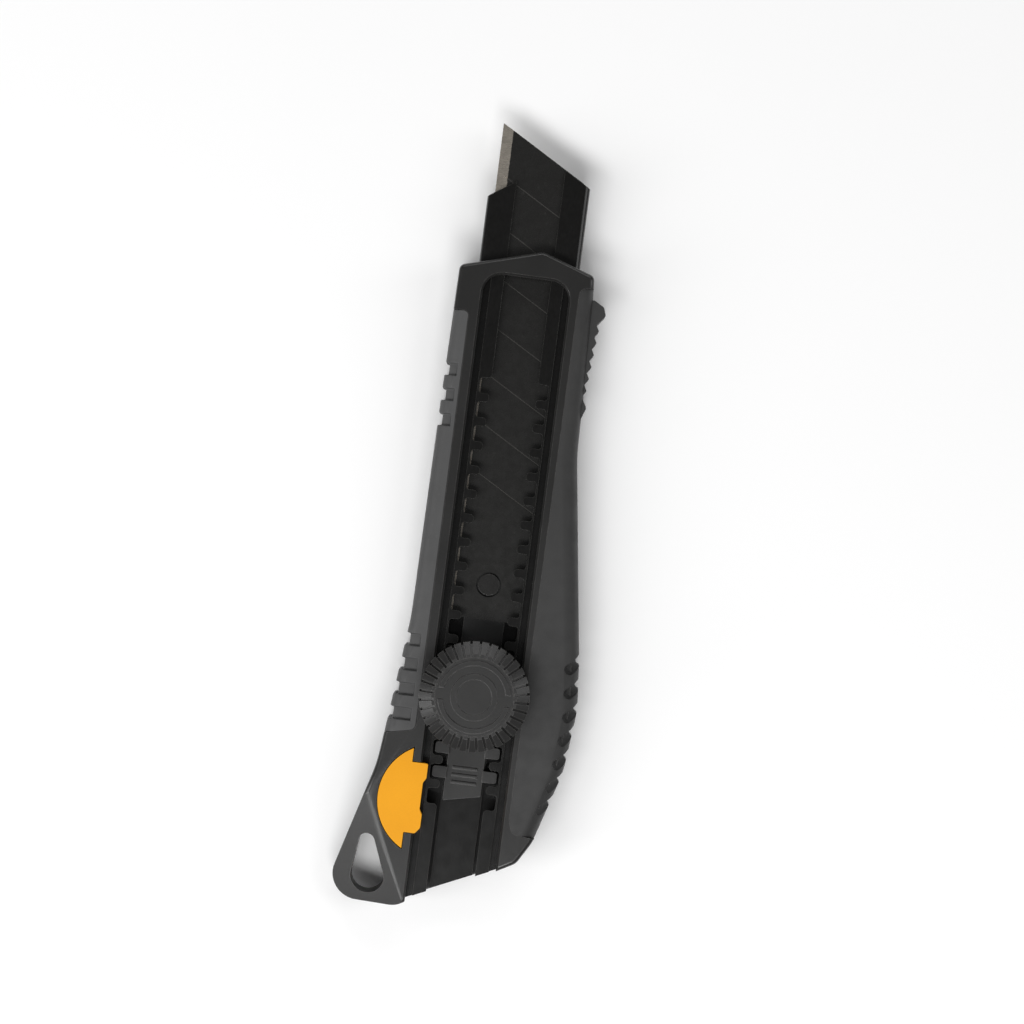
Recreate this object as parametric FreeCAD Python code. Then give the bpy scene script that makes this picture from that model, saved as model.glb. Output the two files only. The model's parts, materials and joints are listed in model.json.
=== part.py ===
"""Snap-off knife: wheel-locked utility knife for 18 mm segmented blades.

Millimetres. X points to the spine side, Y towards the blade tip, Z out of the face that carries the wheel.
The knife lies on its back. Sizes are given on the rail's centre line and moved to the origin at the end.
"""
import FreeCAD, Part
import math
import os

V = FreeCAD.Vector

# ---- blade ---------------------------------------------------------------------------------------------
BLADE_W = 18.0            # width of the blade format
BLADE_T = 0.7             # thickness
BLADE_L = 102.2           # tip to tail
BLADE_TIP_Y = 77.3        # the tip, with the slider at rest
SEGMENT = 10.0            # distance between score lines
SCORES = 7                # number of score lines
BREAK_ANGLE = 30.0        # score lines against the blade's width
SCORE_W = 0.3             # width of a score line
SCORE_D = 0.12            # depth of a score line
BEVEL_W = 2.2             # width of the ground edge
EDGE_T = 0.06             # thickness left at the cutting edge
BLADE_HOLE_R = 2.6        # hole in the tail for the carrier's pin
PIN_R = 2.25              # the carrier's pin
PIN_STEM_R = 1.2          # its stem, riveted in the carrier
BLADE_HOLE_TAIL = 7.3     # hole centre from the tail

# ---- steel rail ----------------------------------------------------------------------------------------
SHEET = 0.9               # sheet thickness
RAIL_SIDE = 0.5           # blade to rail wall, each side
RAIL_BEND_R = 1.1         # outside bend radius
STRIP_IN = 4.8            # inner edge of a toothed strip, from the centre line
STRIP_OUT = 7.5           # outer edge of a toothed strip
STRIP_RISE = 1.0          # toothed strip above the rail's shoulder
STRIP_FRONT = 48.0        # the strips start here, under the handle's bridge
RIB_HALF = 4.2            # half width of the floor's pressed rib
RIB_RISE = 2.0            # rib above the floor
RIB_FRONT = 52.2          # front end of the rib
NOTCH_PITCH = 5.0         # half a segment
NOTCH_L = 3.2             # length of a notch along the rail
NOTCH_IN = 7.1            # bottom of a notch, from the centre line
NOTCH_FRONT = 24.6        # front end of the first notch
NOTCH_R = 0.6             # inside corners of a notch
TOOTH_R = 0.75            # rounded corners of the strip's teeth
NOTCHES = 18              # notches in each strip
RAIL_CORNER_Y = 61.6      # front left corner
RAIL_PEAK_X = 2.6         # peak of the rail's nose
RAIL_RIGHT_Y = 65.9       # front right corner

# ---- slider --------------------------------------------------------------------------------------------
PLAY = 0.1                # sliding clearance between flat parts
BLADE_PLAY = 0.15         # blade to the rail's shoulder
RUNNING = 0.05            # radial clearance of a shaft in its hole
CARRIER_T = 0.6           # spring-steel blade carrier
CARRIER_HALF = 4.2        # half width of the carrier
CLAMP_T = 0.9             # plate of the toothed clamp
CLAMP_HALF = 6.8          # half width of the clamp, under the raised strips
WING_HALF = 8.6           # half width of the slider block's wings, under the shoulders
TOOTH_PLAY = 0.15         # tooth to notch
BLOCK_FRONT = 9.3         # slider block in front of the wheel's axis
BLOCK_REAR = 4.7          # slider block behind the wheel's axis
WING_REAR = 3.8           # its wings end this far in front of the wheel's axis
NECK_FIT = 0.4            # its neck to each toothed strip
TAIL_HALF = 3.9           # half width of the slider's raised tail
TAIL_T = 1.5              # thickness of the tail's tongue
TAIL_END = 21.8           # tail's end behind the wheel's axis
LUG_GAP = 0.4             # lug to notch
RETRACT = 15.0            # travel back from rest, to the latch's tab
SHOE_R = 7.2              # shoe that rides on the toothed strips
SHOE_T = 1.2
WHEEL_Y = -40.3           # wheel's axis, with the slider at rest
STUD_R = 2.0              # screw that draws the clamp up
SPRING_WIRE = 0.45        # wire of both coil springs

# ---- lock wheel ----------------------------------------------------------------------------------------
WHEEL_R = 11.3
WHEEL_TOP_R = 8.7         # flat top inside the sloped grip band
WHEEL_H = 6.6             # rim height
WHEEL_SLOPE = 1.6         # drop of the sloped grip band
WHEEL_GROOVES = 36
GROOVE_W = 0.5            # width and depth of a grip groove
WHEEL_GAP = 0.6           # wheel to the body's face
HUB_R = 5.0
WASHER_T = 0.6
CAP_R = 8.0
CAP_T = 1.2

# ---- handle --------------------------------------------------------------------------------------------
BACK_WALL = 4.0           # plastic behind the rail
LIP_H = 3.0               # plastic lip above the rail's shoulder
WINDOW_HALF = 8.9         # half width of the slider window
WINDOW_TOP = 46.0         # front end of the slider window
WINDOW_R = 4.0            # corner radius of the window
WINDOW_CHAMFER = 0.4
EDGE_R = 0.9              # rounded outer edge of the hard plastic
SPINE_R = 3.4             # rounded edge of the grip on the spine side
SOFT_R = 2.0              # rounded edge of the grip on the edge side
RAIL_FIT = 0.05           # rail to plastic
SOFT_T = 1.6              # thickness of the soft grips
NOTCH_DEPTH = 0.9         # grip grooves on the edge side
EDGE_GROOVE_W = 2.5
FINGER_GROOVES = 7        # grip grooves on the spine side
FINGER_FRONT = -30.5
FINGER_PITCH = 4.93
FINGER_R = 1.15
FINGER_DEPTH = 0.75
FINGER_RUN = 3.4          # straight run of a groove, from the middle of the flank

# ---- latch ---------------------------------------------------------------------------------------------
LATCH_Y = -62.95          # middle of the latch
LATCH_HALF = 10.35        # half its length
LATCH_WALL = 0.5          # its straight side from the rail's side
LATCH_W = 6.2             # its width in the middle
LATCH_T = 2.2             # thickness of its head
LATCH_TAB_FRONT = 7.5     # tab's front end from the latch's middle
LATCH_TAB_REAR = 7.0      # tab's rear end from the latch's middle
LATCH_PRESS = 1.5         # how far it presses down
LATCH_FIT = 0.15
LATCH_STEM = (4.0, 7.0)   # stem along X and Y
LATCH_STEM_IN = 3.3       # stem's middle from the straight side
POCKET_FLOOR = 2.2        # plastic left under the latch's pocket

# ---- levels, from the back of the handle upwards -------------------------------------------------------
RAIL_HALF = BLADE_W / 2 + RAIL_SIDE + SHEET
RAIL_Z = BACK_WALL
FLOOR_Z = RAIL_Z + SHEET
CLAMP_LIFT = SHEET + PLAY
RIB_TOP = FLOOR_Z + RIB_RISE
CARRIER_Z = RIB_TOP + PLAY
CLAMP_TOP = CARRIER_Z + CLAMP_T
NECK_Z = CLAMP_TOP + CLAMP_LIFT + PLAY             # underside of the slider's neck
BLADE_Z = CARRIER_Z + CARRIER_T
SHOULDER_Z = BLADE_Z + BLADE_T + BLADE_PLAY        # underside of the rail's shoulders
STRIP_TOP = SHOULDER_Z + SHEET + STRIP_RISE
LIP_Z = SHOULDER_Z + SHEET + RAIL_FIT
FACE_Z = LIP_Z + LIP_H
LATCH_RIGHT = -(RAIL_HALF + LATCH_WALL)
LATCH_LEFT = LATCH_RIGHT - LATCH_W
LATCH_STEM_X = LATCH_RIGHT - LATCH_STEM_IN
LATCH_TAB_IN = -(STRIP_OUT + PLAY)                 # tab's inner edge
SHOE_Z = STRIP_TOP + RUNNING
WASHER_Z = SHOE_Z + SHOE_T
HUB_Z = WASHER_Z + WASHER_T + RUNNING
WHEEL_Z = FACE_Z + WHEEL_GAP
WHEEL_TOP = WHEEL_Z + WHEEL_H
AXIS = V(0, WHEEL_Y, 0)
PIN_Y = BLADE_TIP_Y - BLADE_L + BLADE_HOLE_TAIL
TAN_BREAK = math.tan(math.radians(BREAK_ANGLE))
FIRST_TOOTH = math.ceil((NOTCH_FRONT - WHEEL_Y) / NOTCH_PITCH)   # first notch behind the wheel's axis
CLAMP_TEETH = (FIRST_TOOTH, FIRST_TOOTH + 1)       # notches that the clamp's teeth stand under at rest
TAIL_LUGS = (FIRST_TOOTH + 2, FIRST_TOOTH + 3)     # notches that show the tail's side lugs at rest


# ---- helpers -------------------------------------------------------------------------------------------
def box(x0, x1, y0, y1, z0, z1):
    return Part.makeBox(x1 - x0, y1 - y0, z1 - z0, V(x0, y0, z0))


def cyl(r, z0, z1, at=AXIS):
    return Part.makeCylinder(r, z1 - z0, V(at.x, at.y, z0))


def rounded_wire(points, z=0.0):
    """Closed wire through (x, y, corner radius) points, with tangent arcs in the corners."""
    edges, ends = [], []
    for i, (x, y, r) in enumerate(points):
        here = V(x, y, z)
        back = V(points[i - 1][0], points[i - 1][1], z) - here
        ahead = V(points[(i + 1) % len(points)][0], points[(i + 1) % len(points)][1], z) - here
        half = back.getAngle(ahead) / 2
        if r == 0 or half > math.pi / 2 - 1e-4:
            ends.append((here, here))
            continue
        back.normalize()
        ahead.normalize()
        reach = r / math.tan(half)
        middle = back + ahead
        middle.normalize()
        start, end = here + back * reach, here + ahead * reach
        through = here + middle * (r / math.sin(half) - r)
        edges.append((i, Part.Arc(start, through, end).toShape()))
        ends.append((start, end))
    arcs = dict(edges)
    loop = []
    for i in range(len(points)):
        if i in arcs:
            loop.append(arcs[i])
        a, b = ends[i][1], ends[(i + 1) % len(points)][0]
        if a.distanceToPoint(b) > 1e-6:
            loop.append(Part.makeLine(a, b))
    return Part.Wire(loop)


def prism(points, z0, z1):
    return Part.Face(rounded_wire(points, z0)).extrude(V(0, 0, z1 - z0))


def coil(r, wire, z0, z1, turns, at):
    """Coil spring of round wire between two levels."""
    helix = Part.makeHelix((z1 - z0 - wire) / turns, z1 - z0 - wire, r)
    ring = Part.Wire(Part.makeCircle(wire / 2, V(r, 0, 0), V(0, 1, 0)))
    spring = Part.Wire(helix.Edges).makePipeShell([ring], True, True)
    spring.translate(V(at.x, at.y, z0 + wire / 2))
    return spring


def turned_copies(shape, count, centre, axis=V(0, 0, 1)):
    """Copies of a shape spaced evenly round an axis."""
    copies = []
    for i in range(count):
        copy = shape.copy()
        copy.rotate(centre, axis, 360.0 * i / count)
        copies.append(copy)
    return copies


# ---- handle outline ------------------------------------------------------------------------------------
def out(wall):
    """Distance from the centre line of a place that lies outside the rail's side by that much."""
    return RAIL_HALF + wall


OUTLINE = [
    (-out(3.8), 46.9, 1.3), (2.5, 51.7, 2.5), (out(3.1), 47.9, 1.3), (out(3.6), 42.0, 20),
    (out(4.3), 11.0, 40), (out(10.1), -31.0, 12), (out(11.0), -41.0, 25), (out(9.7), -54.0, 25),
    (out(5.4), -68.5, 14), (out(2.4), -73.6, 3.2), (7.6, -76.4, 3.2), (-7.4, -83.3, 3.2),
    (-out(0.2), -85.3, 6), (-out(15.9), -85.8, 5.2), (-out(7.7), -56.5, 30), (-out(4.6), -26.0, 40),
    (-out(4.2), 20.0, 60),
]
REAR_LEFT, REAR_RIGHT = V(-7.4, -82.9, 0), V(7.6, -76.1, 0)     # line on which the rail's rear end is cut
CREASE, CREASE_TURN = V(-out(8.4), -62.8, 0), 24.2             # crease in front of the lanyard hole


def handle_skin(edge_r):
    """The whole handle's outside, with rounded front and back edges, before it is split into pieces."""
    skin = prism(OUTLINE, 0, FACE_Z)
    rims = [e for e in skin.Edges if abs(e.BoundBox.ZLength) < 1e-6]
    return skin.makeFillet(edge_r, rims)


def lanyard_facets():
    """Wedges that thin the rear corner towards the lanyard hole, in front and behind."""
    facets = []
    for z, lift, slope in ((FACE_Z, 0, -27), (0, -40, 10)):
        wedge = box(-40, 0, -120, 0, lift, lift + 40)
        wedge.rotate(V(0, 0, 0), V(0, 1, 0), slope)
        wedge.rotate(V(0, 0, 0), V(0, 0, 1), CREASE_TURN)
        wedge.translate(CREASE + V(0, 0, z))
        facets.append(wedge)
    return facets


def soft_region(points):
    """Space that a soft grip takes up: the region in plan, less the hard core it is moulded over."""
    core = Part.Face(rounded_wire(OUTLINE)).makeOffset2D(-SOFT_T).extrude(V(0, 0, FACE_Z - 2 * SOFT_T))
    core.translate(V(0, 0, SOFT_T))
    return prism(points, -1, FACE_Z + 1).cut(core)


RIGHT_REGION = [(out(0.5), 45.3, 1.6), (out(19.6), 45.3, 0), (out(19.6), -69.6, 0), (out(0.8), -67.6, 1.5),
                (out(-0.1), -65.0, 2)]
LEFT_REGION = [(-out(0.7), 37.7, 1.0), (-out(0.7), -48.9, 1.5), (-out(19.6), -52.8, 0), (-out(19.6), 37.7, 0)]


def thumb_pad():
    """Ridged thumb rest that stands out of the spine side."""
    points = [(out(3.0), 43.2, 0), (out(3.8), 43.2, 0), (out(5.9), 42.0, 0.8), (out(6.5), 40.3, 0.6),
              (out(4.8), 38.2, 0)]
    for i in range(6):
        peak_x, peak_y = out(5.5) - 0.2 * i, 37.0 - 2.5 * i
        points += [(peak_x, peak_y, 0.3), (peak_x - 0.85, peak_y - 1.25, 0)]
    points += [(out(4.9), 21.0, 0.8), (out(3.9), 18.2, 0), (out(3.0), 18.2, 0)]
    return prism(points, SOFT_T + 0.8, FACE_Z - SOFT_T - 0.8)


def flank_x(y, side):
    """Where the handle's outline lies at y, on the spine side (1) or the edge side (-1)."""
    line = Part.makeLine(V(0, y, 0), V(side * 60, y, 0))
    return rounded_wire(OUTLINE).distToShape(line)[1][0][0].x


def finger_grooves():
    """Grooves across the spine side; each one leans back where it runs out on the faces."""
    grooves = []
    for i in range(FINGER_GROOVES):
        y = FINGER_FRONT - FINGER_PITCH * i
        flank = flank_x(y, 1)
        x = flank + FINGER_R - FINGER_DEPTH
        low, high = FACE_Z / 2 - FINGER_RUN, FACE_Z / 2 + FINGER_RUN
        grooves.append(cyl(FINGER_R, low, high, V(x, y, 0)))
        for turn_z, end_z in ((high, FACE_Z - 0.4), (low, 0.4)):
            turn, end = V(x, y, turn_z), V(flank - 1.8, y - 2.2, end_z)
            run = end - turn
            grooves.append(Part.makeCylinder(FINGER_R, run.Length, turn, run))
            grooves += [Part.makeSphere(FINGER_R, turn), Part.makeSphere(FINGER_R, end)]
    return grooves


def edge_grooves(centres, reach):
    """Grooves that wrap the cutting-edge side of the handle."""
    grooves = []
    for y in centres:
        outer = box(-30, reach, y - EDGE_GROOVE_W / 2, y + EDGE_GROOVE_W / 2, -1, FACE_Z + 1)
        keep = box(flank_x(y, -1) + NOTCH_DEPTH, 0, y - 9, y + 9, NOTCH_DEPTH, FACE_Z - NOTCH_DEPTH)
        grooves.append(outer.cut(keep))
    return grooves


# ---- pieces --------------------------------------------------------------------------------------------
def rail_envelope():
    """Hollow in the handle that holds the rail."""
    side, inner = RAIL_HALF + RAIL_FIT, STRIP_OUT + RAIL_FIT
    strips = box(-inner, inner, -100, STRIP_FRONT + RAIL_FIT, RAIL_Z, SHOE_Z)
    return box(-side, side, -100, 80, RAIL_Z, LIP_Z).fuse(strips)


def window_cutter():
    """Slider window, open at the rear, with a chamfered rim."""
    def outline(grow, z):
        half, top = WINDOW_HALF + grow, WINDOW_TOP + grow
        return rounded_wire([(-half, top, WINDOW_R + grow), (half, top, WINDOW_R + grow),
                             (half, -100, 0), (-half, -100, 0)], z)
    straight = Part.Face(outline(0, LIP_Z - 1)).extrude(V(0, 0, LIP_H + 2))
    top = FACE_Z + 0.1
    rim = Part.makeLoft([outline(0, FACE_Z - WINDOW_CHAMFER), outline(WINDOW_CHAMFER + 0.1, top)], True)
    return straight.fuse(rim)


def latch_outline(grow):
    """Crescent with a straight inner side."""
    rise = LATCH_RIGHT - LATCH_LEFT
    top = V(LATCH_RIGHT + grow, LATCH_Y + LATCH_HALF + grow * 2, 0)
    bottom = V(LATCH_RIGHT + grow, LATCH_Y - LATCH_HALF - grow * 2, 0)
    arc = Part.Arc(top, V(LATCH_RIGHT - rise - grow, LATCH_Y, 0), bottom).toShape()
    return Part.Wire([arc, Part.makeLine(bottom, top)])


def latch_solids(grow, z_head, z_stem, z_top):
    """Head and stem of the latch, or with a clearance and lower levels the pocket that takes them."""
    head = Part.Face(latch_outline(grow)).extrude(V(0, 0, z_top - z_head))
    head.translate(V(0, 0, z_head))
    sx, sy = LATCH_STEM[0] / 2 + grow, LATCH_STEM[1] / 2 + grow
    stem = prism([(LATCH_STEM_X - sx, LATCH_Y - sy, 1), (LATCH_STEM_X + sx, LATCH_Y - sy, 1),
                  (LATCH_STEM_X + sx, LATCH_Y + sy, 1), (LATCH_STEM_X - sx, LATCH_Y + sy, 1)], z_stem, z_head)
    return head.fuse(stem)


def tab_outline():
    """Tab that reaches over the rail, with two bumps and a shallow dip between them."""
    crest, dip = LATCH_TAB_IN, LATCH_TAB_IN - 0.6
    y0, y1 = LATCH_Y + LATCH_TAB_FRONT, LATCH_Y - LATCH_TAB_REAR
    return [(LATCH_RIGHT - 1.0, y0, 0), (crest, y0, 0.4), (crest, y0 - 3.0, 0.4), (dip, y0 - 4.0, 1),
            (dip, y1 + 5.0, 1), (crest, y1 + 4.0, 0.4), (crest, y1 + 1.2, 1), (dip - 0.4, y1, 0.5),
            (LATCH_RIGHT - 1.0, y1, 0)]


LATCH_TOP = FACE_Z + 0.2
LATCH_HEAD_Z = LATCH_TOP - LATCH_T
LATCH_STEM_Z = LATCH_HEAD_Z - 4.6
TAB_Z = LIP_Z + PLAY + LATCH_PRESS
EAR_Z = LATCH_TOP - LATCH_PRESS + PLAY


def latch():
    tab = prism(tab_outline(), TAB_Z, LATCH_TOP)
    body = latch_solids(0, LATCH_HEAD_Z, LATCH_STEM_Z, LATCH_TOP).fuse(tab)
    seat = cyl(1.5, LATCH_STEM_Z, LATCH_STEM_Z + 1.0, V(LATCH_STEM_X, LATCH_Y, 0))
    return body.cut(seat).removeSplitter()


def latch_spring():
    return coil(1.15, SPRING_WIRE, POCKET_FLOOR, LATCH_STEM_Z + 1.0, 3.5, V(LATCH_STEM_X, LATCH_Y, 0))


def latch_pocket():
    pocket = latch_solids(LATCH_FIT, LATCH_HEAD_Z - LATCH_PRESS - PLAY, POCKET_FLOOR, FACE_Z + 2)
    grow = LATCH_FIT
    gap = box(LATCH_RIGHT - 1, 0, LATCH_Y - LATCH_TAB_REAR - grow, LATCH_Y + LATCH_TAB_FRONT + grow,
              LIP_Z, FACE_Z + 2)
    return pocket.fuse(gap)


def lanyard_hole():
    """Teardrop hole through the handle's rear corner."""
    small, large = (V(-out(7.8), -73.0, 0), 1.7), (V(-out(6.9), -80.2, 0), 3.5)
    run = large[0] - small[0]
    lean = math.asin((large[1] - small[1]) / run.Length)
    heading = math.atan2(run.y, run.x)
    tangents = []
    for centre, r in (small, large):
        for side in (1, -1):
            a = heading + side * (math.pi / 2 + lean)
            tangents.append(centre + V(r * math.cos(a), r * math.sin(a), 0))
    s1, s2, l1, l2 = tangents
    waist = Part.Face(Part.makePolygon([s1, l1, l2, s2, s1])).extrude(V(0, 0, 40))
    hole = waist.fuse([cyl(small[1], 0, 40, small[0]), cyl(large[1], 0, 40, large[0])])
    hole.translate(V(0, 0, -10))
    return hole


RIVET_YS = {"rail_rivet_front": 38.0, "rail_rivet_rear": -54.0}
RIVET_R, RIVET_HEAD_R, RIVET_SINK_R = 1.5, 3.2, 2.3


def rivet(y, recess=0.0):
    """Flush rivet from the rail's rib to a recess in the handle's back."""
    at = V(0, y, 0)
    sink = Part.makeCone(RIVET_R, RIVET_SINK_R, SHEET, V(0, y, RIB_TOP - SHEET))
    head = cyl(RIVET_HEAD_R, 0.3 - recess, 1.3, at)
    return sink.fuse([cyl(RIVET_R, 1.3, RIB_TOP - SHEET, at), head])


def handle_pieces():
    right = soft_region(RIGHT_REGION)
    left = soft_region(LEFT_REGION)
    grip_right = handle_skin(SPINE_R).common(right).fuse(thumb_pad().common(right)).cut(finger_grooves())
    left_grooves = edge_grooves((25.4, 20.2, 15.0), -out(1.6))
    left_grooves += edge_grooves((-30.6, -35.7, -40.8, -45.9), -out(2.0))
    grip_left = handle_skin(SOFT_R).common(left).cut(left_grooves)
    body = handle_skin(EDGE_R).cut([right, left] + lanyard_facets())
    body = body.cut([rail_envelope(), window_cutter(), latch_pocket(), lanyard_hole()])
    body = body.cut([rivet(y, 1.0) for y in RIVET_YS.values()])
    return {"handle_body": body, "grip_right": grip_right, "grip_left": grip_left}


def rail_section(points, y0, y1):
    """Solid of the rail's section between two places; points give its right half, downwards then back up."""
    left = [(-x, z, r) for x, z, r in reversed(points)]
    section = rounded_wire(points + left)
    section.rotate(V(0, 0, 0), V(1, 0, 0), 90)
    section.translate(V(0, y1, RAIL_Z))
    return Part.Face(section).extrude(V(0, y0 - y1, 0))


def strip_comb(side):
    """Everything inside one toothed strip's edge, notches included."""
    x0, x1 = side * STRIP_IN, side * NOTCH_IN
    points = [(0, 90, 0), (x0, 90, 0)]
    for i in range(NOTCHES):
        y1 = NOTCH_FRONT - NOTCH_PITCH * i
        y0 = y1 - NOTCH_L
        points += [(x0, y1, TOOTH_R), (x1, y1, NOTCH_R), (x1, y0, NOTCH_R), (x0, y0, TOOTH_R)]
    points += [(x0, -100, 0), (0, -100, 0)]
    return prism(points, RIB_TOP + PLAY, STRIP_TOP + 1)


def blade_rail():
    """C-rail: floor with a pressed rib, walls, shoulders over the blade and raised toothed strips."""
    high, low = STRIP_TOP - RAIL_Z, SHOULDER_Z + SHEET - RAIL_Z
    inner, web, bend = RAIL_HALF - SHEET, STRIP_OUT - 0.5, RAIL_BEND_R - SHEET
    outside = [(RAIL_HALF, 0, RAIL_BEND_R), (RAIL_HALF, low, RAIL_BEND_R)]
    inside = [(inner, low - SHEET, bend), (inner, SHEET, bend)]
    raised = [(STRIP_OUT, low, 0), (STRIP_OUT, high, 0), (0.5, high, 0), (0.5, high - SHEET, 0),
              (web, high - SHEET, 0), (web, low - SHEET, 0)]
    flat = [(STRIP_IN, low, 0), (STRIP_IN, low - SHEET, 0)]
    rib_out = [(RIB_HALF, SHEET, 0), (RIB_HALF, SHEET + RIB_RISE, 0)]
    rib_in = [(RIB_HALF - SHEET, RIB_RISE, 0), (RIB_HALF - SHEET, 0, 0)]
    rear = rail_section(rib_in + outside + raised + inside + rib_out, -100, STRIP_FRONT)
    middle = rail_section(rib_in + outside + flat + inside + rib_out, STRIP_FRONT, RIB_FRONT)
    nose = rail_section(outside + flat + inside, RIB_FRONT, 90)
    slope = (REAR_RIGHT.y - REAR_LEFT.y) / (REAR_RIGHT.x - REAR_LEFT.x)
    side = RAIL_HALF + 1
    peak_y = RAIL_RIGHT_Y + (RAIL_HALF - RAIL_PEAK_X) * TAN_BREAK
    plan = [(-side, REAR_LEFT.y - slope * (side + REAR_LEFT.x), 0),
            (side, REAR_RIGHT.y + slope * (side - REAR_RIGHT.x), 0),
            (side, RAIL_RIGHT_Y - TAN_BREAK, 0), (RAIL_PEAK_X, peak_y, 1.5), (-side, RAIL_CORNER_Y - 0.4, 0)]
    rib_end = box(-RIB_HALF, RIB_HALF, RIB_FRONT - SHEET, RIB_FRONT, RAIL_Z, RIB_TOP)
    rail = rear.fuse([middle, nose, rib_end]).common(prism(plan, 0, 30))
    combs = [strip_comb(side) for side in (-1, 1)]
    return rail.cut(combs + [rivet(y) for y in RIVET_YS.values()]).removeSplitter()


def blade():
    half, mid = BLADE_W / 2, BLADE_T / 2
    tail = BLADE_TIP_Y - BLADE_L
    section = Part.makePolygon([V(x, tail, BLADE_Z + z) for x, z in (
        (-half, mid - EDGE_T / 2), (BEVEL_W - half, 0), (half, 0), (half, BLADE_T), (BEVEL_W - half, BLADE_T),
        (-half, mid + EDGE_T / 2), (-half, mid - EDGE_T / 2))])
    solid = Part.Face(section).extrude(V(0, BLADE_L, 0))
    drop = BLADE_W * TAN_BREAK
    plan = [(-half, tail, 1.2), (half, tail, 1.2), (half, BLADE_TIP_Y - drop, 0), (-half, BLADE_TIP_Y, 0)]
    solid = solid.common(prism(plan, 0, 30))
    top = BLADE_Z + BLADE_T
    vee = Part.makePolygon([V(-half - 1, y, z) for y, z in (
        (-SCORE_W / 2, top), (0, top - SCORE_D), (SCORE_W / 2, top), (SCORE_W / 2, top + 1),
        (-SCORE_W / 2, top + 1), (-SCORE_W / 2, top))])
    score = Part.Face(vee).extrude(V(2 * half + 2, 0, 0))
    cuts = [cyl(BLADE_HOLE_R, 0, 30, V(0, PIN_Y, 0))]
    for i in range(1, SCORES + 1):
        line = score.transformGeometry(shear(TAN_BREAK))
        line.translate(V(0, BLADE_TIP_Y - drop / 2 - SEGMENT * i, 0))
        cuts.append(line)
    return solid.cut(cuts)


def shear(k):
    """Matrix that slopes a bar across the width by k."""
    m = FreeCAD.Matrix()
    m.A21 = -k
    return m


def blade_carrier():
    at = V(0, PIN_Y, 0)
    strip = box(-CARRIER_HALF, CARRIER_HALF, WHEEL_Y + 4.0, PIN_Y, CARRIER_Z, BLADE_Z)
    strip = strip.fuse(cyl(CARRIER_HALF, CARRIER_Z, BLADE_Z, at))
    return strip.cut(cyl(PIN_STEM_R, 0, 30, at)).removeSplitter()


def blade_pin():
    at = V(0, PIN_Y, 0)
    head = cyl(PIN_R, BLADE_Z, BLADE_Z + BLADE_T, at)
    return head.fuse(cyl(PIN_STEM_R, CARRIER_Z, BLADE_Z, at))


def slider_block():
    """Block inside the rail: wings under the shoulders in front, a neck between the strips under the shoe."""
    y0, y1 = WHEEL_Y - BLOCK_REAR, WHEEL_Y + BLOCK_FRONT
    wing_y, half = WHEEL_Y + WING_REAR, STRIP_IN - NECK_FIT
    wings = box(-WING_HALF, WING_HALF, wing_y, y1, CARRIER_Z, SHOULDER_Z - PLAY)
    neck = box(-half, half, y0, y1, NECK_Z, SHOE_Z).fuse(box(-half, half, wing_y, y1, BLADE_Z, SHOE_Z))
    pocket = box(-CARRIER_HALF, CARRIER_HALF, wing_y, 0, CARRIER_Z - 1, BLADE_Z)
    bore = cyl(STUD_R + PLAY, 0, 30)
    return wings.fuse(neck).cut([pocket, bore, cyl(SPRING_R + SPRING_WIRE, 0, SPRING_TOP)]).removeSplitter()


def toothed(indices, inner, gap, z0, z1):
    """Round-cornered blocks under the given notches of both strips, with a gap all round."""
    blocks = []
    for i in indices:
        y1 = NOTCH_FRONT - NOTCH_PITCH * i - gap
        y0 = y1 - NOTCH_L + 2 * gap
        for side in (-1, 1):
            x0, x1 = side * inner, side * (NOTCH_IN - gap)
            blocks.append(prism([(x0, y0, 0), (x1, y0, NOTCH_R), (x1, y1, NOTCH_R), (x0, y1, 0)], z0, z1))
    return blocks


def slider_tail():
    """Tongue behind the wheel, with side lugs that show in the notches and plain grip ribs."""
    y0, y1 = WHEEL_Y - TAIL_END, WHEEL_Y - BLOCK_REAR
    slant = TAIL_HALF * math.tan(math.radians(12))
    top, lug_top = CARRIER_Z + TAIL_T, STRIP_TOP - SHEET - PLAY
    tongue = prism([(-TAIL_HALF, y0 - slant, 0.3), (TAIL_HALF, y0 + slant, 0.3), (TAIL_HALF, y1, 0),
                    (-TAIL_HALF, y1, 0)], CARRIER_Z, top)
    heel = box(-TAIL_HALF, TAIL_HALF, y1 - 2, y1, CARRIER_Z, SHOE_Z)
    ribs = [box(-2.6, 2.6, y, y + 0.6, top, top + 0.3) for y in (y0 + 3.0 + 1.5 * i for i in range(3))]
    lugs = toothed(TAIL_LUGS, TAIL_HALF - 0.2, LUG_GAP, CARRIER_Z, lug_top)
    return tongue.fuse([heel] + lugs + ribs).removeSplitter()


SPRING_R = 2.85
SPRING_TOP = SHOE_Z + 0.8


def clamp_spring():
    return coil(SPRING_R, SPRING_WIRE, CLAMP_TOP, SPRING_TOP, 3.0, AXIS)


def slider_shoe():
    """Disc that rides on the toothed strips, with the stop ear that meets the latch's tab."""
    disc = cyl(SHOE_R, SHOE_Z, WASHER_Z)
    y0, y1 = LATCH_Y + LATCH_TAB_FRONT + RETRACT + PLAY, WHEEL_Y + 5.0
    column = box(-SHOE_R + 0.2, -SHOE_R + 1.6, y0, y1, SHOE_Z, WHEEL_Z - 0.3)
    ear = box(-WINDOW_HALF + 0.3, -SHOE_R + 1.6, y0, y1, EAR_Z, WHEEL_Z - 0.3)
    bores = [cyl(STUD_R + PLAY, 0, 30), cyl(SPRING_R + SPRING_WIRE, 0, SPRING_TOP)]
    return disc.fuse([column, ear]).cut(bores).removeSplitter()


def thrust_washer():
    return cyl(HUB_R, WASHER_Z, WASHER_Z + WASHER_T).cut(cyl(STUD_R + PLAY, 0, 30))


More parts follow.
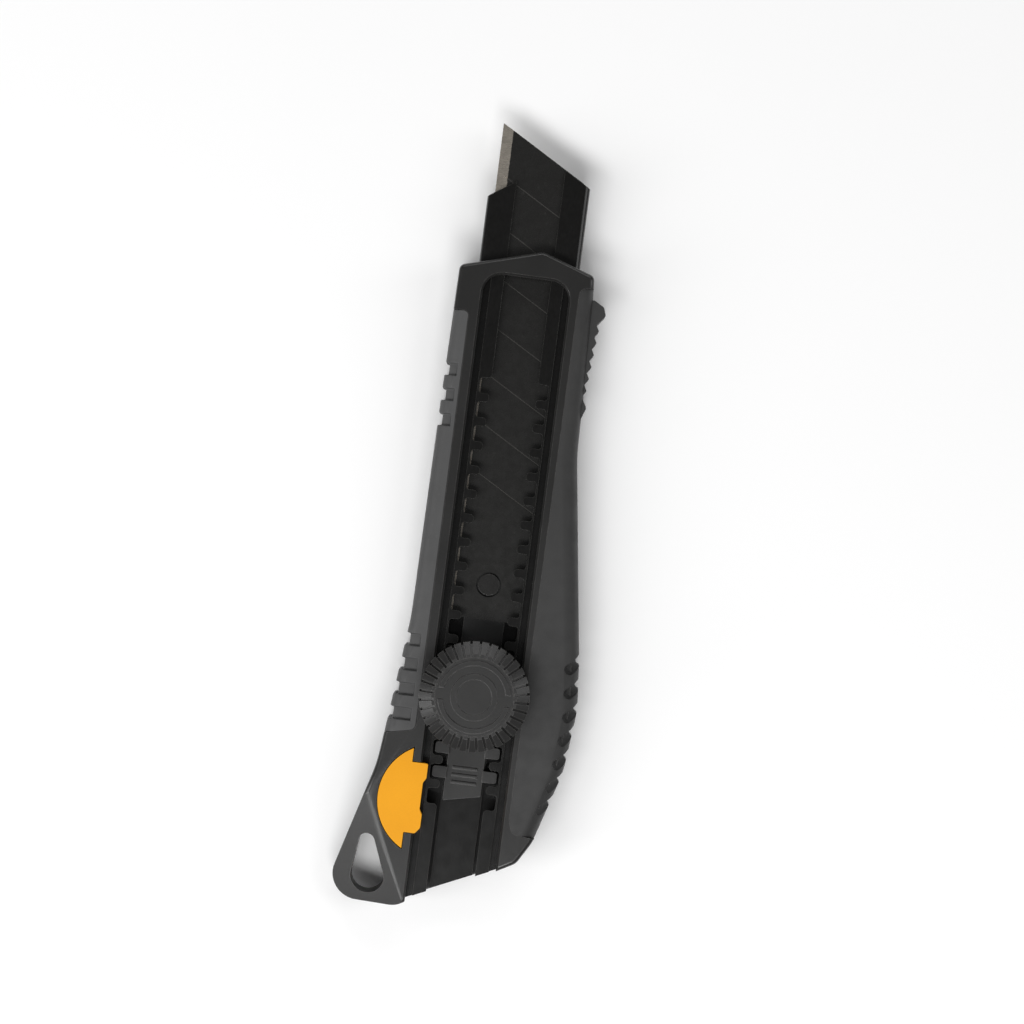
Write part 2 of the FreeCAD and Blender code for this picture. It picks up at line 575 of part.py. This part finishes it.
def clamp_plate():
    """Toothed clamp: a plate under the slider's neck and two rows of teeth beside it."""
    rear, front = WHEEL_Y - BLOCK_REAR + PLAY, WHEEL_Y + WING_REAR - PLAY
    z0 = CLAMP_TOP - CLAMP_T
    base = box(-CLAMP_HALF, CLAMP_HALF, rear, front, z0, CLAMP_TOP)
    last = NOTCH_FRONT - NOTCH_PITCH * CLAMP_TEETH[-1] - NOTCH_L + TOOTH_PLAY
    for side in (-1, 1):
        a, b = sorted((side * (TAIL_HALF + PLAY), side * CLAMP_HALF))
        base = base.fuse(box(a, b, last, rear, z0, CLAMP_TOP))
    teeth = toothed(CLAMP_TEETH, STRIP_IN - 0.3, TOOTH_PLAY, z0, STRIP_TOP - SHEET - PLAY)
    return base.fuse(teeth).cut(cyl(STUD_R, 0, 30)).removeSplitter()


def clamp_screw():
    return cyl(STUD_R, CLAMP_TOP - CLAMP_T, WHEEL_TOP - CAP_T - 1.4)


NUT_R = 3.9


def nut_prism(z0, z1):
    points = [(AXIS.x + NUT_R * math.cos(a), AXIS.y + NUT_R * math.sin(a), 0)
              for a in (math.radians(60 * i) for i in range(6))]
    return prism(points, z0, z1)


def wheel_nut():
    return nut_prism(WHEEL_Z, WHEEL_TOP - CAP_T - 1.8).cut(cyl(STUD_R + RUNNING, 0, 30))


def lock_wheel():
    top, low = WHEEL_TOP, WHEEL_TOP - WHEEL_SLOPE
    section = Part.makePolygon([V(x, 0, z) for x, z in (
        (0, HUB_Z), (HUB_R, HUB_Z), (HUB_R, WHEEL_Z), (WHEEL_R - 0.8, WHEEL_Z), (WHEEL_R, WHEEL_Z + 0.8),
        (WHEEL_R, low), (WHEEL_TOP_R, top), (0, top), (0, HUB_Z))])
    wheel = Part.Face(section).revolve(V(0, 0, 0), V(0, 0, 1), 360)
    wheel.translate(AXIS)
    run = math.hypot(WHEEL_R - WHEEL_TOP_R, WHEEL_SLOPE)
    bar = Part.makeBox(run + 2, GROOVE_W, 2.0, V(-0.4, -GROOVE_W / 2, -GROOVE_W))
    bar.rotate(V(0, 0, 0), V(0, 1, 0), math.degrees(math.atan2(WHEEL_SLOPE, WHEEL_R - WHEEL_TOP_R)))
    bar.translate(AXIS + V(WHEEL_TOP_R, 0, top))
    flank = box(WHEEL_R - GROOVE_W, WHEEL_R + 1, -GROOVE_W / 2, GROOVE_W / 2, WHEEL_Z, top)
    flank.translate(AXIS)
    wheel = wheel.cut(turned_copies(bar, WHEEL_GROOVES, AXIS)).cut(turned_copies(flank, WHEEL_GROOVES, AXIS))
    inside = cyl(CAP_R, top - CAP_T, top + 1)
    wheel = wheel.cut([inside, nut_prism(WHEEL_Z, top - CAP_T), cyl(STUD_R + PLAY, 0, top - CAP_T)])
    return wheel


def wheel_cap():
    """Plain cap: a shallow dome ring in two arcs round a low stepped disc."""
    top = WHEEL_TOP
    cap = cyl(CAP_R, top - CAP_T, top)
    ring = cyl(CAP_R - 0.6, top, top + 0.3).cut(cyl(CAP_R - 1.6, top - 1, top + 1))
    gap = box(-CAP_R, CAP_R, WHEEL_Y - 1.2, WHEEL_Y + 1.2, top, top + 1)
    disc = cyl(4.8, top, top + 0.25).cut(cyl(3.6, top + 0.1, top + 1))
    return cap.fuse([ring.cut(gap), disc]).removeSplitter()


def blade_spring():
    """Leaf spring on the rail's floor that steadies the blade at the nose."""
    t = 0.4
    foot, rise, crest, end = RIB_FRONT + 0.6, RIB_FRONT + 3.4, 60.5, 62.2
    top = BLADE_Z - RUNNING
    side = [(foot, FLOOR_Z), (rise, FLOOR_Z), (crest, top - t), (end, top - t - 0.5),
            (end, top - 0.5), (crest, top), (rise, FLOOR_Z + t), (foot, FLOOR_Z + t), (foot, FLOOR_Z)]
    leaf = Part.Face(Part.makePolygon([V(-3.5, y, z) for y, z in side])).extrude(V(7, 0, 0))
    return leaf


def build():
    pieces = handle_pieces()
    for make in (blade_rail, blade, blade_carrier, blade_pin, blade_spring, slider_block, slider_tail,
                 slider_shoe, thrust_washer, clamp_plate, clamp_screw, clamp_spring, wheel_nut, lock_wheel,
                 wheel_cap, latch, latch_spring):
        pieces[make.__name__] = make()
    for name, y in RIVET_YS.items():
        pieces[name] = rivet(y)
    bounds = Part.makeCompound(list(pieces.values())).optimalBoundingBox(False, False)
    shift = V(-bounds.Center.x, -bounds.Center.y, -bounds.ZMin)
    os.makedirs("parts", exist_ok=True)
    for name, shape in pieces.items():
        shape.translate(shift)
        solid = shape.Solids[0] if len(shape.Solids) == 1 else shape
        print(name, len(shape.Solids), "valid" if shape.isValid() else "INVALID", round(shape.Volume, 2))
        solid.exportStep("parts/" + name + ".step")
    print("shift", tuple(round(c, 4) for c in shift))


build()
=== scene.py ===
"""Looks of the snap-off knife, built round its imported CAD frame. Metres; MM turns millimetres into metres."""
import json
import math

import bmesh
import bpy
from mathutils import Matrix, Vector


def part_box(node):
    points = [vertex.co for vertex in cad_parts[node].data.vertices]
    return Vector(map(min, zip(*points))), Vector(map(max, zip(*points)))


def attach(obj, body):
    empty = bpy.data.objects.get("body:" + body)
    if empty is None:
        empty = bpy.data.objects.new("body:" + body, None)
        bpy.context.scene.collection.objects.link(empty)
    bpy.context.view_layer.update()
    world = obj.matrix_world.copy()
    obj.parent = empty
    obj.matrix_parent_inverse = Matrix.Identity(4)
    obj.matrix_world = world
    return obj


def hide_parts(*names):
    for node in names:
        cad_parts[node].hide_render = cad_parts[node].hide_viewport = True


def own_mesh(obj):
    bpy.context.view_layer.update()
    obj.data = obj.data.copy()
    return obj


MM = 0.001
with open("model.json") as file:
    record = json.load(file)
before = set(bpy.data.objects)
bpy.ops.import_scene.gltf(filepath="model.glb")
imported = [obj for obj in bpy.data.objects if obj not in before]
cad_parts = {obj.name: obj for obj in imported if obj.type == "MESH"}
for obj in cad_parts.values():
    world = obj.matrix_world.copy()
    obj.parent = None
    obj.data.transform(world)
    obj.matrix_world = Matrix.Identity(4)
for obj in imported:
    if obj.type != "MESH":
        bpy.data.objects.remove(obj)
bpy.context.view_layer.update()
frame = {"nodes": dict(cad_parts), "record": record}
scene = bpy.context.scene

# ---- places read from the frame ------------------------------------------------------------------------
BLADE_LOW, BLADE_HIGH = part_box("blade")
FACE_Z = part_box("handle_body")[1].z                     # face round the slider window
CENTRE_X = (BLADE_LOW.x + BLADE_HIGH.x) / 2             # the rail's centre line
BEVEL_W = 2.2 * MM                                      # width of the ground edge
SCORE_TOP, SCORE_LOW = 0.02 * MM, 0.2 * MM              # depths between which the scored lines show
BARE_STEEL_AND_EDGE_HIGHLIGHT = (0.09, 0.087, 0.082)                     # bare metal under worn black; on coated-steel edges it is also a painted highlight
SHARP, SMOOTH, FLAT = math.radians(30), math.radians(40), math.radians(0.6)


# ---- node helpers --------------------------------------------------------------------------------------
class Shader:
    """A material's node tree, with short names for the nodes that the finishes share."""

    def __init__(self, name, **sockets):
        self.material = bpy.data.materials.new(name)
        self.material.use_nodes = True
        self.tree = self.material.node_tree
        self.surface = self.tree.nodes["Principled BSDF"]
        for socket, value in sockets.items():
            self.surface.inputs[socket.replace("_", " ")].default_value = value
        self.place = self.node("ShaderNodeTexCoord").outputs["Object"]

    def node(self, kind, **settings):
        made = self.tree.nodes.new(kind)
        for name, value in settings.items():
            setattr(made, name, value)
        return made

    def join(self, source, target):
        self.tree.links.new(source, target)

    def noise(self, size_mm, detail=2.0, stretch=(1, 1, 1)):
        """Noise with features of about that size, pulled out along an axis by stretch."""
        mapping = self.node("ShaderNodeMapping")
        mapping.inputs["Scale"].default_value = [1 / s for s in stretch]
        texture = self.node("ShaderNodeTexNoise")
        texture.inputs["Scale"].default_value = 1 / (size_mm * MM)
        texture.inputs["Detail"].default_value = detail
        self.join(self.place, mapping.inputs["Vector"])
        self.join(mapping.outputs["Vector"], texture.inputs["Vector"])
        return texture.outputs["Fac"]

    def ramp(self, value, *stops):
        """Colour ramp through (position, grey or colour) stops."""
        ramp = self.node("ShaderNodeValToRGB")
        ramp.color_ramp.elements.remove(ramp.color_ramp.elements[-1])
        for i, (position, colour) in enumerate(stops):
            stop = ramp.color_ramp.elements[0] if i == 0 else ramp.color_ramp.elements.new(position)
            stop.position = position
            rgb = colour if isinstance(colour, tuple) else (colour, colour, colour)
            stop.color = (*rgb, 1)
        self.join(value, ramp.inputs["Fac"])
        return ramp.outputs["Color"]

    def math(self, operation, a, b):
        made = self.node("ShaderNodeMath", operation=operation)
        for socket, value in zip(made.inputs, (a, b)):
            if isinstance(value, (int, float)):
                socket.default_value = value
            else:
                self.join(value, socket)
        return made.outputs["Value"]

    def mix(self, factor, a, b, blend="MIX"):
        made = self.node("ShaderNodeMix", data_type="RGBA", blend_type=blend)
        colour_a, colour_b = [i for i in made.inputs if i.type == "RGBA"]
        for socket, value in ((made.inputs[0], factor), (colour_a, a), (colour_b, b)):
            if isinstance(value, (int, float)):
                socket.default_value = value
            elif isinstance(value, tuple):
                socket.default_value = (*value, 1)
            else:
                self.join(value, socket)
        return [o for o in made.outputs if o.type == "RGBA"][0]

    def bump(self, height, depth_mm):
        bump = self.node("ShaderNodeBump")
        bump.inputs["Strength"].default_value = 1.0
        bump.inputs["Distance"].default_value = depth_mm * MM
        self.join(height, bump.inputs["Height"])
        self.join(bump.outputs["Normal"], self.surface.inputs["Normal"])

    def colour(self, value):
        self.join(value, self.surface.inputs["Base Color"])

    def roughness(self, value):
        self.join(value, self.surface.inputs["Roughness"])

    def axis(self, name):
        split = self.node("ShaderNodeSeparateXYZ")
        self.join(self.place, split.inputs["Vector"])
        return split.outputs[name]

    def edge_wear_and_highlight(self, radius_mm=0.25):
        """1 along hard edges, broken up by noise: the mask for rubbed wear and for painted edge highlights."""
        bevel = self.node("ShaderNodeBevel", samples=4)
        bevel.inputs["Radius"].default_value = radius_mm * MM
        facing = self.node("ShaderNodeVectorMath", operation="DOT_PRODUCT")
        self.join(bevel.outputs["Normal"], facing.inputs[0])
        self.join(self.node("ShaderNodeNewGeometry").outputs["Normal"], facing.inputs[1])
        edge = self.ramp(facing.outputs["Value"], (0.88, 1.0), (0.995, 0.0))
        return self.math("MULTIPLY", edge, self.ramp(self.noise(1.4, 4), (0.3, 0.25), (0.6, 1.0)))


def moulded(name, colour, light, roughness, grain_depth=0.012, wear_and_highlight=(0.16, 0.155, 0.15), speck=0.86,
            ior=1.49):
    """Moulded plastic: fine spark-eroded grain, slow drift of tone and gloss, paler edges that are partly
    rubbed wear and partly painted highlight.
    """
    s = Shader(name, IOR=ior)
    drift = s.ramp(s.noise(14, 3), (0.3, colour), (0.7, light))
    specks = s.ramp(s.noise(0.25, 2), (0.35, speck), (0.65, 1.0))
    toned = s.mix(1.0, drift, specks, "MULTIPLY")
    # paler edges: partly rubbed wear, partly painted highlight along the rims
    s.colour(s.mix(s.math("MULTIPLY", s.edge_wear_and_highlight(), 0.45), toned, wear_and_highlight))
    s.roughness(s.ramp(s.noise(9, 2), (0.3, roughness - 0.015), (0.7, roughness + 0.02)))
    s.bump(s.noise(0.16, 3), grain_depth)
    return s.material


def soft_rubber(name, colour, light):
    """Soft over-moulded grip: dull, finely pitted, dust in the grain."""
    s = Shader(name, IOR=1.5, Sheen_Weight=0.04, Sheen_Roughness=0.5)
    drift = s.ramp(s.noise(18, 3), (0.3, colour), (0.72, light))
    dust = s.ramp(s.noise(0.5, 5), (0.62, 0.0), (0.8, 1.0))
    s.colour(s.mix(s.math("MULTIPLY", dust, 0.18), drift, tuple(min(1, c * 2.2) for c in light)))
    s.roughness(s.ramp(s.noise(3, 4), (0.3, 0.52), (0.7, 0.66)))
    s.bump(s.noise(0.2, 4), 0.02)
    return s.material


def coated_steel(name, colour, light, roughness, stretch=(1, 3, 1)):
    """Black-coated steel with a fine grain and pale edges that are partly bare metal where rubbed and partly
    painted highlight.
    """
    s = Shader(name, Metallic=0.1, IOR=1.45)
    lines = s.ramp(s.noise(0.3, 3, stretch), (0.3, colour), (0.75, light))
    # pale edges: partly bare metal where rubbed, partly painted highlight on the edges
    rubbed_and_highlit = s.edge_wear_and_highlight(0.2)
    s.colour(s.mix(s.math("MULTIPLY", rubbed_and_highlit, 0.6), lines, BARE_STEEL_AND_EDGE_HIGHLIGHT))
    s.roughness(s.ramp(s.noise(2.5, 3), (0.3, roughness - 0.015), (0.7, roughness + 0.025)))
    s.bump(s.noise(0.2, 3), 0.004)
    return s.material


def bare_metal(name, colour, roughness, stretch=(1, 1, 1)):
    """Bare or plated metal with fine brushing and dull spots."""
    s = Shader(name, Metallic=1.0)
    dull = tuple(0.8 * c for c in colour)
    s.colour(s.ramp(s.noise(0.6, 4, stretch), (0.3, dull), (0.7, colour)))
    s.roughness(s.ramp(s.noise(0.8, 4, stretch), (0.3, roughness - 0.06), (0.7, roughness + 0.1)))
    s.bump(s.noise(0.12, 2, stretch), 0.004)
    return s.material


def blade_finish():
    """Black oxide, a ground silver edge along the cutting side, scored lines painted paler (partly bare steel
    in the cut, partly painted highlight) and fine scuffs.
    """
    s = Shader("blade_steel", IOR=1.5)
    across = s.math("SUBTRACT", s.axis("X"), BLADE_LOW.x)
    ragged = s.math("MULTIPLY", s.math("SUBTRACT", s.noise(0.7, 4), 0.5), 0.25 * MM)
    ground = s.math("LESS_THAN", s.math("ADD", across, ragged), BEVEL_W)
    # the band of the scored grooves is painted paler: partly bare steel in the cut, partly painted highlight
    # where light catches the groove flanks
    below = s.math("SUBTRACT", BLADE_HIGH.z, s.axis("Z"))
    scored = s.math("MULTIPLY", s.math("GREATER_THAN", below, SCORE_TOP),
                    s.math("LESS_THAN", below, SCORE_LOW))
    oxide = s.ramp(s.noise(0.22, 4), (0.3, (0.0105, 0.0102, 0.0096)), (0.75, (0.0165, 0.0161, 0.0152)))
    scuffs = s.ramp(s.noise(1.1, 6, (1, 1.6, 1)), (0.66, 0.0), (0.78, 0.12))
    worn = s.mix(scuffs, oxide, BARE_STEEL_AND_EDGE_HIGHLIGHT)
    scores_bare_and_highlit = s.mix(scored, worn, (0.06, 0.058, 0.055))
    steel = s.ramp(s.noise(0.12, 3, (8, 1, 1)), (0.3, (0.44, 0.4, 0.345)), (0.7, (0.64, 0.585, 0.51)))
    s.colour(s.mix(ground, scores_bare_and_highlit, steel))
    s.join(s.math("ADD", s.math("MULTIPLY", ground, 0.75), 0.1), s.surface.inputs["Metallic"])
    s.roughness(s.ramp(s.noise(1.5, 5), (0.3, 0.24), (0.7, 0.3)))
    s.bump(s.noise(0.14, 3), 0.003)
    return s.material


FINISHES = {
    "hard_plastic": moulded("hard_plastic", (0.0135, 0.0132, 0.0128), (0.0185, 0.0181, 0.0176), 0.3),
    # the two grips are lit and shaded copies of one rubber: the edge-side grip is painted paler for the light
    # falling from the left
    "soft_grip_spine": soft_rubber("soft_grip_spine", (0.0145, 0.0144, 0.0142), (0.0205, 0.0203, 0.0201)),
    "soft_grip_edge": soft_rubber("soft_grip_edge", (0.049, 0.049, 0.0492), (0.063, 0.063, 0.0635)),
    "black_steel": coated_steel("black_steel", (0.0035, 0.0034, 0.0031), (0.007, 0.0068, 0.0064), 0.25),
    "bright_steel": bare_metal("bright_steel", (0.55, 0.55, 0.55), 0.3),
    "spring_steel": bare_metal("spring_steel", (0.4, 0.4, 0.4), 0.33),
    "blade_steel": blade_finish(),
    # darker and duller than the rail's black steel: painted shade for the shadowed cavity between the blade's
    # tail and the wheel
    "carrier_steel": coated_steel("carrier_steel", (0.0025, 0.0025, 0.0025), (0.005, 0.005, 0.005), 0.5),
    "pin_steel": coated_steel("pin_steel", (0.012, 0.0117, 0.0112), (0.02, 0.0196, 0.0188), 0.26, (1, 1, 1)),
    # near black and far darker than the handle's black plastic: painted shade for the shadowed cavity between
    # the blade's tail and the wheel
    "slider_plastic": moulded("slider_plastic", (0.003, 0.003, 0.003), (0.006, 0.006, 0.006), 0.5),
    "tail_grey": moulded("tail_grey", (0.017, 0.0167, 0.0162), (0.024, 0.0236, 0.023), 0.3),
    "clamp_steel": bare_metal("clamp_steel", (0.3, 0.3, 0.3), 0.4, (1, 6, 1)),
    "nut_brass": bare_metal("nut_brass", (0.62, 0.43, 0.17), 0.3),
    "wheel_plastic": moulded("wheel_plastic", (0.0155, 0.0152, 0.0148), (0.021, 0.0206, 0.0201), 0.34),
    "cap_plastic": moulded("cap_plastic", (0.0145, 0.0142, 0.0138), (0.0195, 0.0191, 0.0186), 0.34),
    "latch_yellow": moulded("latch_yellow", (0.78, 0.325, 0.002), (0.83, 0.355, 0.004), 0.45, 0.006,
                            (0.95, 0.55, 0.1), 0.97, 1.3),
}


# ---- pieces --------------------------------------------------------------------------------------------
def visual_copy(node):
    """A new object with its own copy of a CAD node's mesh."""
    piece = bpy.data.objects.new(node + "_look", frame["nodes"][node].data.copy())
    scene.collection.objects.link(piece)
    return piece


def coil_spring(node, joint, travel_mm, fixed_top):
    """A smooth-shaded visual copy of a CAD spring, attached to its body in place of the hidden CAD node."""
    piece = visual_copy(node)
    for face in piece.data.polygons:
        face.use_smooth = True
    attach(piece, BODY_OF[node])
    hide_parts(node)
    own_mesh(piece)
    return piece


def softened(node, width_mm):
    """A visual copy of a CAD node with its hard edges rounded."""
    piece = visual_copy(node)
    mesh = bmesh.new()
    mesh.from_mesh(piece.data)
    bmesh.ops.remove_doubles(mesh, verts=mesh.verts, dist=0.001 * MM)
    bmesh.ops.dissolve_limit(mesh, angle_limit=FLAT, verts=mesh.verts, edges=mesh.edges)
    sharp = [e for e in mesh.edges if e.is_manifold and e.calc_face_angle(0) > SHARP]
    bmesh.ops.bevel(mesh, geom=sharp, offset=width_mm * MM, segments=2, profile=0.5, affect="EDGES",
                    clamp_overlap=True)
    for face in mesh.faces:
        face.smooth = True
    mesh.to_mesh(piece.data)
    mesh.free()
    piece.data.set_sharp_from_angle(angle=SMOOTH)
    normals = piece.modifiers.new("normals", "WEIGHTED_NORMAL")
    normals.keep_sharp = True
    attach(piece, BODY_OF[node])
    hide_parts(node)
    return piece


def finish(piece, slot):
    """Gives a visual piece the one material of its slot."""
    piece.data.materials.clear()
    piece.data.materials.append(FINISHES[slot])


SLOTS = {p["node"]: p["material_slot"] for p in frame["record"]["subparts"]}
BODY_OF = {node: body for body, nodes in frame["record"]["behaviour"]["bodies"].items() for node in nodes}
ROUNDING = {"handle_body": 0.18, "grip_right": 0.22, "grip_left": 0.22, "blade_rail": 0.12,
            "lock_wheel": 0.16, "wheel_cap": 0.1, "slider_tail": 0.15, "slider_shoe": 0.15,
            "latch": 0.2, "blade_pin": 0.1}          # width of the rounded edges, in mm

# the joint that presses each spring, its travel in mm, and whether the spring's top end is the fixed one
SPRINGS = {"clamp_spring": ("clamp_lift", 1.0, True), "latch_spring": ("latch_press", 1.5, False)}

for node, slot in SLOTS.items():
    if node in ROUNDING:
        finish(softened(node, ROUNDING[node]), slot)
    elif node in SPRINGS:
        finish(coil_spring(node, *SPRINGS[node]), slot)
    else:
        cad = frame["nodes"][node]
        cad.data.materials.clear()
        cad.data.materials.append(FINISHES[slot])


# ---- floor, lights and camera --------------------------------------------------------------------------
def stage_floor():
    """Pale matt floor just under the knife's back."""
    bpy.ops.mesh.primitive_plane_add(size=6, location=(0, 0, -0.2 * MM))
    floor = bpy.context.object
    floor.name = "floor"
    s = Shader("floor", Roughness=0.9)
    s.colour(s.ramp(s.noise(400, 2), (0.3, 0.94), (0.7, 0.96)))
    floor.data.materials.append(s.material)


def area_light(name, place, size, power):
    """Rectangular softbox aimed at the knife's middle."""
    data = bpy.data.lights.new(name, "AREA")
    data.shape, data.size, data.size_y, data.energy = "RECTANGLE", size[0], size[1], power
    lamp = bpy.data.objects.new(name, data)
    scene.collection.objects.link(lamp)
    lamp.location = place
    lamp.rotation_euler = (-Vector(place)).to_track_quat("-Z", "Y").to_euler()


stage_floor()
area_light("key", (-0.1, -0.48, 0.88), (0.8, 0.3), 6.8)
area_light("left", (-0.75, -0.3, 0.6), (0.35, 0.8), 3.4)
area_light("right", (0.8, 0.15, 0.75), (0.35, 0.8), 2.4)
area_light("top", (0.0, 0.85, 0.6), (0.9, 0.3), 2.4)
world = bpy.data.worlds.new("studio")
world.use_nodes = True
world.node_tree.nodes["Background"].inputs["Color"].default_value = (1, 1, 1, 1)
world.node_tree.nodes["Background"].inputs["Strength"].default_value = 0.13
scene.world = world
scene.view_settings.view_transform = "Standard"

TILT = math.radians(7.3)                    # the knife leans to the right in the view
VIEW_H = 0.6                                # camera above the floor
VIEW_W = 0.2098                             # width of the view at the handle's face
VIEW_RIGHT = 2.85 * MM                      # view's middle to the spine side of the rail's centre line
VIEW_BACK = 79.41 * MM                      # view's middle behind the blade's tip
camera = bpy.data.cameras.new("camera")
camera.sensor_width = 36
camera.lens = 36 * (VIEW_H - FACE_Z) / VIEW_W
eye = bpy.data.objects.new("camera", camera)
scene.collection.objects.link(eye)
eye.location = (CENTRE_X + VIEW_RIGHT, BLADE_HIGH.y - VIEW_BACK, VIEW_H)
eye.rotation_euler = (0, 0, TILT)
scene.camera = eye
